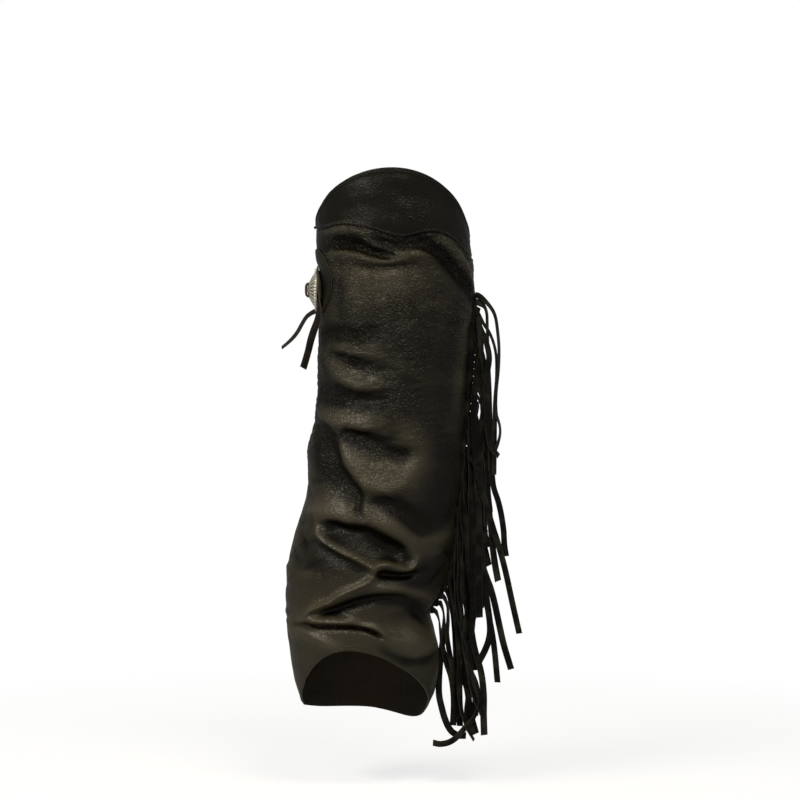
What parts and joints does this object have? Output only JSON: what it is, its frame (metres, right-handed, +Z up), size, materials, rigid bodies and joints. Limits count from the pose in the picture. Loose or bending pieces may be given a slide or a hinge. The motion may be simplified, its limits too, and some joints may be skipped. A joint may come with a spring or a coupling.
{
  "type": "fringed half chap",
  "caption": "Black leather half chap worn on the left lower leg: hollow tube with a high rounded knee yoke, a round laced concho on its closing tab and long fringe down the outer seam.",
  "frame": {"origin": "on the axis of the leg inside the tube, level with the middle of the concho, where the leg holds it", "axes": "+Z up along the leg towards the knee, +X to the outer side with the fringe, -Y to the front of the shin; the closing edge and the concho are at -X"},
  "size_m": [0.2416, 0.1611, 0.5705],
  "materials": {
    "leather": "semi-gloss black cowhide with a fine wrinkled grain",
    "concho_metal": "antique silver, darkened in the recesses",
    "lace": "matt black lace leather with browner cut edges",
    "fringe": "thin black leather, smooth face and browner cut edges"
  },
  "bodies": {
    "root": {"knee_yoke": "leather", "front_panel": "leather", "back_panel": "leather", "closure_tab": "leather", "concho_rosette": "leather", "concho": "concho_metal", "lace_bridge": "lace", "lace_end_front": "lace", "lace_end_side": "lace", "fringe_header": "fringe", "fringe": "fringe"}
  },
  "joints": []
}
